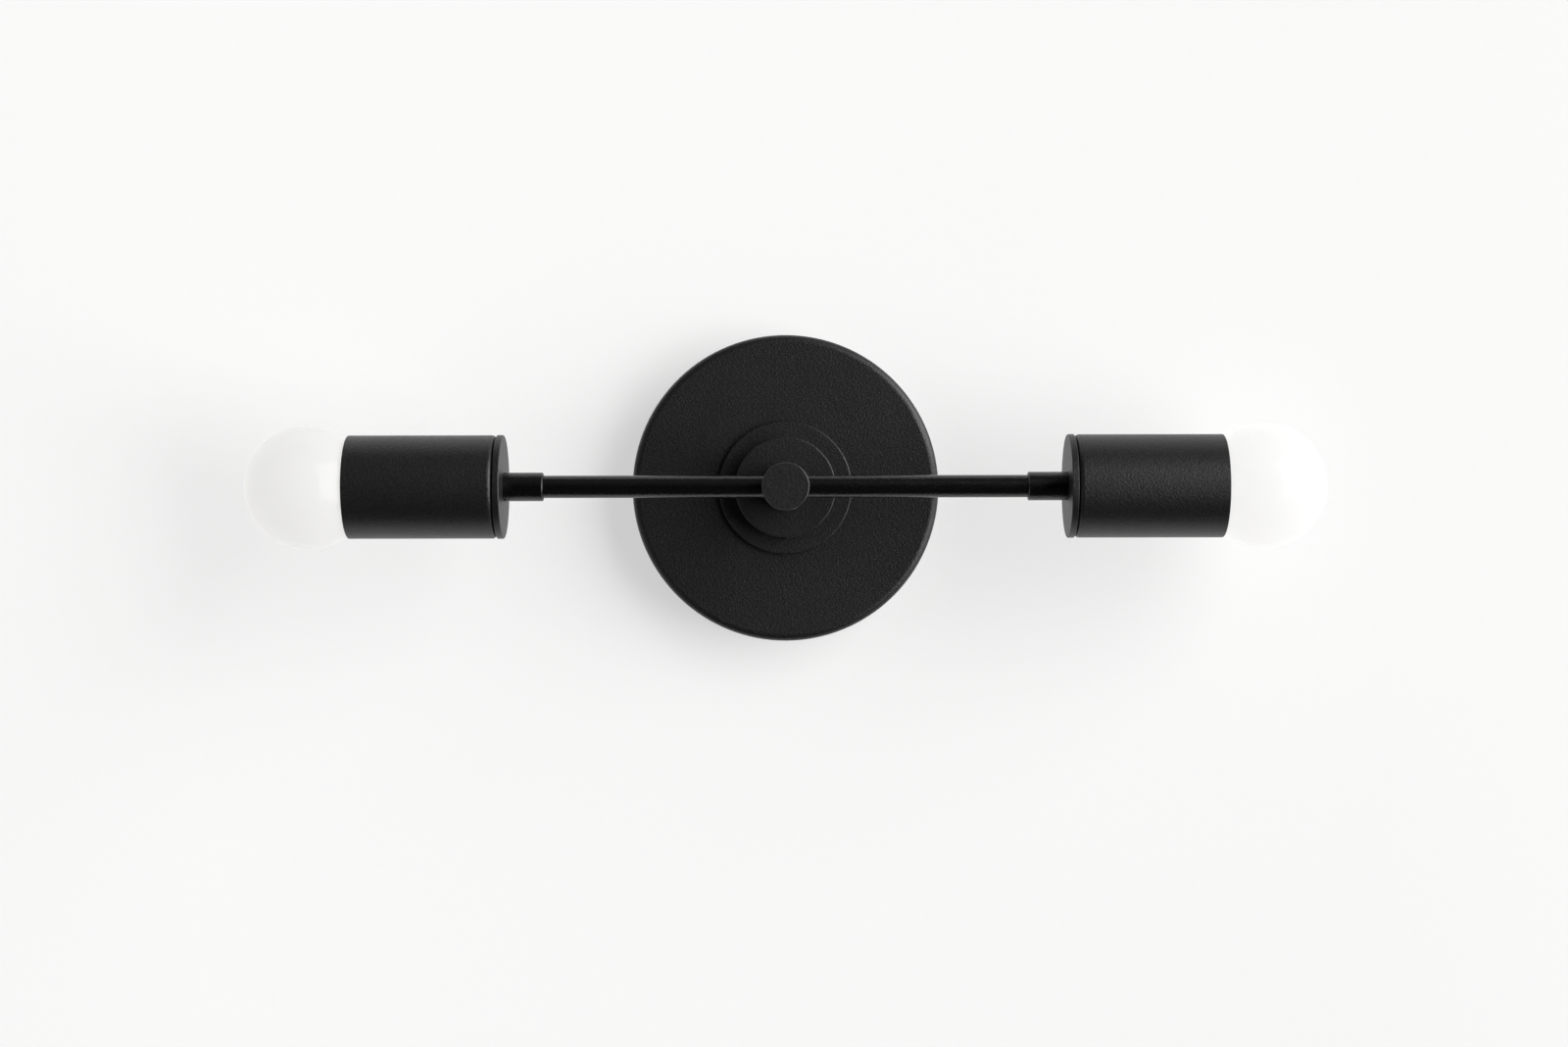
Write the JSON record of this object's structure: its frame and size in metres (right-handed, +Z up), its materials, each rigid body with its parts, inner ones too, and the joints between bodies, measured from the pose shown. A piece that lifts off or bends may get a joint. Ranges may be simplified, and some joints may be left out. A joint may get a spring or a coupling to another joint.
{
  "type": "vanity light",
  "caption": "Matte black wall-mounted vanity light: round canopy, short stem, straight arms to cylindrical socket cups with screw-in opal globe bulbs.",
  "frame": {"origin": "where the stem's axis meets the wall plane, at the middle of the strap's screw slots", "axes": "+Z up, +Y into the wall, the light stands out from the wall towards -Y, +X to the right along the arms as seen from the front"},
  "size_m": [0.4322, 0.084, 0.127],
  "materials": {
    "black_powder_coat": "matte black powder coat on steel",
    "zinc_plated_steel": "bright zinc plating",
    "green_enamel": "green earth-screw finish",
    "black_oxide_steel": "black oxide",
    "white_porcelain": "glazed white porcelain",
    "brass": "plain rolled brass",
    "nickel_plated_base": "nickel-coloured rolled sheet",
    "black_glass": "black insulating glass",
    "solder": "solder dome",
    "opal_glass": "glossy white opal glass",
    "cast_aluminium": "plain aluminium",
    "white_solder_mask": "white board with pale yellow chips",
    "black_insulation": "black wire insulation",
    "white_insulation": "white wire insulation"
  },
  "bodies": {
    "fixture": {"mounting_strap": "zinc_plated_steel", "strap_nipple": "zinc_plated_steel", "strap_lock_nuts": "zinc_plated_steel", "ground_screw": "green_enamel", "stem": "black_powder_coat", "stem_cap": "black_powder_coat", "arm_left": "black_powder_coat", "coupling_left": "black_powder_coat", "cup_washer_left": "black_powder_coat", "socket_cup_left": "black_powder_coat", "socket_nipple_left": "zinc_plated_steel", "cup_nut_left": "zinc_plated_steel", "holder_bracket_left": "zinc_plated_steel", "bracket_screws_left": "zinc_plated_steel", "lampholder_left": "white_porcelain", "screw_shell_left": "brass", "centre_contact_left": "brass", "lead_hot_left": "black_insulation", "lead_neutral_left": "white_insulation", "arm_right": "black_powder_coat", "coupling_right": "black_powder_coat", "cup_washer_right": "black_powder_coat", "socket_cup_right": "black_powder_coat", "socket_nipple_right": "zinc_plated_steel", "cup_nut_right": "zinc_plated_steel", "holder_bracket_right": "zinc_plated_steel", "bracket_screws_right": "zinc_plated_steel", "lampholder_right": "white_porcelain", "screw_shell_right": "brass", "centre_contact_right": "brass", "lead_hot_right": "black_insulation", "lead_neutral_right": "white_insulation"},
    "canopy": {"canopy": "black_powder_coat", "check_ring": "black_powder_coat", "slip_collar": "black_powder_coat", "collar_set_screw": "black_oxide_steel"},
    "left_bulb_tip": {"bulb_insulator_left": "black_glass", "bulb_contact_left": "solder"},
    "left_bulb": {"bulb_globe_left": "opal_glass", "bulb_base_left": "nickel_plated_base", "led_carrier_left": "cast_aluminium", "led_board_left": "white_solder_mask"},
    "right_bulb_tip": {"bulb_insulator_right": "black_glass", "bulb_contact_right": "solder"},
    "right_bulb": {"bulb_globe_right": "opal_glass", "bulb_base_right": "nickel_plated_base", "led_carrier_right": "cast_aluminium", "led_board_right": "white_solder_mask"}
  },
  "joints": [
    {"name": "canopy_slide", "type": "slide", "parent": "fixture", "child": "canopy", "axis": [0, -1, 0], "range_m": [0, 0.02]},
    {"name": "left_bulb_travel", "type": "slide", "parent": "fixture", "child": "left_bulb_tip", "axis": [-1, 0, 0], "range_m": [0, 0.0146]},
    {"name": "left_bulb_turn", "type": "hinge", "parent": "left_bulb_tip", "child": "left_bulb", "pos_m": [-0.15, -0.059, 0], "axis": [-1, 0, 0], "range_deg": [0, 1440]},
    {"name": "right_bulb_travel", "type": "slide", "parent": "fixture", "child": "right_bulb_tip", "axis": [1, 0, 0], "range_m": [0, 0.0146]},
    {"name": "right_bulb_turn", "type": "hinge", "parent": "right_bulb_tip", "child": "right_bulb", "pos_m": [0.15, -0.059, 0], "axis": [1, 0, 0], "range_deg": [0, 1440]}
  ],
  "couplings": [
    {"joint": "left_bulb_travel", "follows": "left_bulb_turn", "m_per_rad": 0.00057751},
    {"joint": "right_bulb_travel", "follows": "right_bulb_turn", "m_per_rad": 0.00057751}
  ]
}
